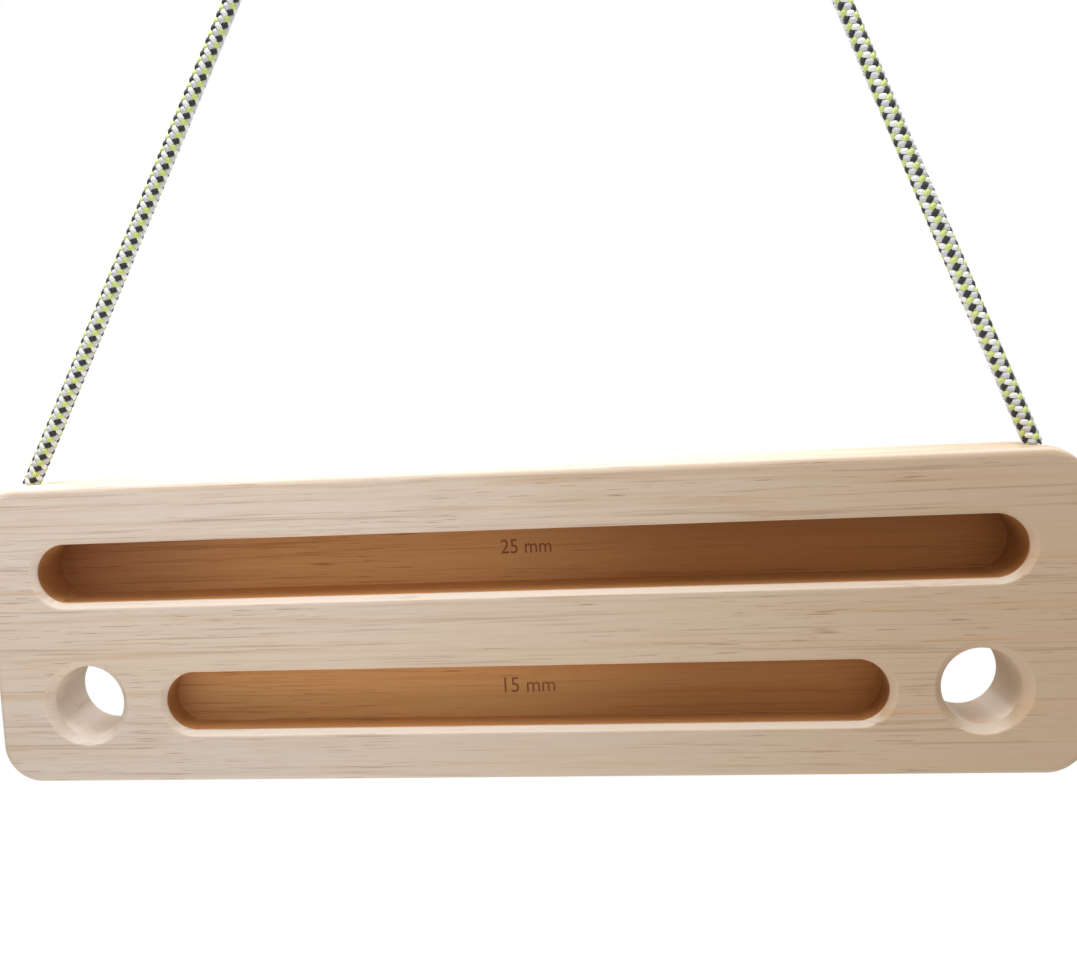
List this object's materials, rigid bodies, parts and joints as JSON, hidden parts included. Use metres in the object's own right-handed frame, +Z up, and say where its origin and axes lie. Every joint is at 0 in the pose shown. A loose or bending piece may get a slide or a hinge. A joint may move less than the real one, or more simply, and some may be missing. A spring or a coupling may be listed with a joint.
{
  "type": "hangboard",
  "caption": "Wooden finger training board with two long slots and two round corner holes, hung on braided cords that end in tied loops.",
  "frame": {"origin": "the point that both cord loops hang from, midway through the board's thickness and above its centre", "axes": "+X along the board to the right as seen from the front, +Y from the front face to the back face, +Z up"},
  "size_m": [0.5, 0.034, 0.4661],
  "materials": {
    "wood": "smooth sanded",
    "braid": "braided sheath"
  },
  "bodies": {
    "sling": {"left_cord": "braid", "right_cord": "braid", "left_loop_knot": "braid", "right_loop_knot": "braid"},
    "plank": {"board": "wood", "left_bore_cord": "braid", "right_bore_cord": "braid", "left_stopper_knot": "braid", "right_stopper_knot": "braid"}
  },
  "joints": [
    {"name": "board_tilt", "type": "hinge", "parent": "sling", "child": "plank", "pos_m": [0, 0, -0.309], "axis": [1, 0, 0], "range_deg": [-45, 45]}
  ]
}
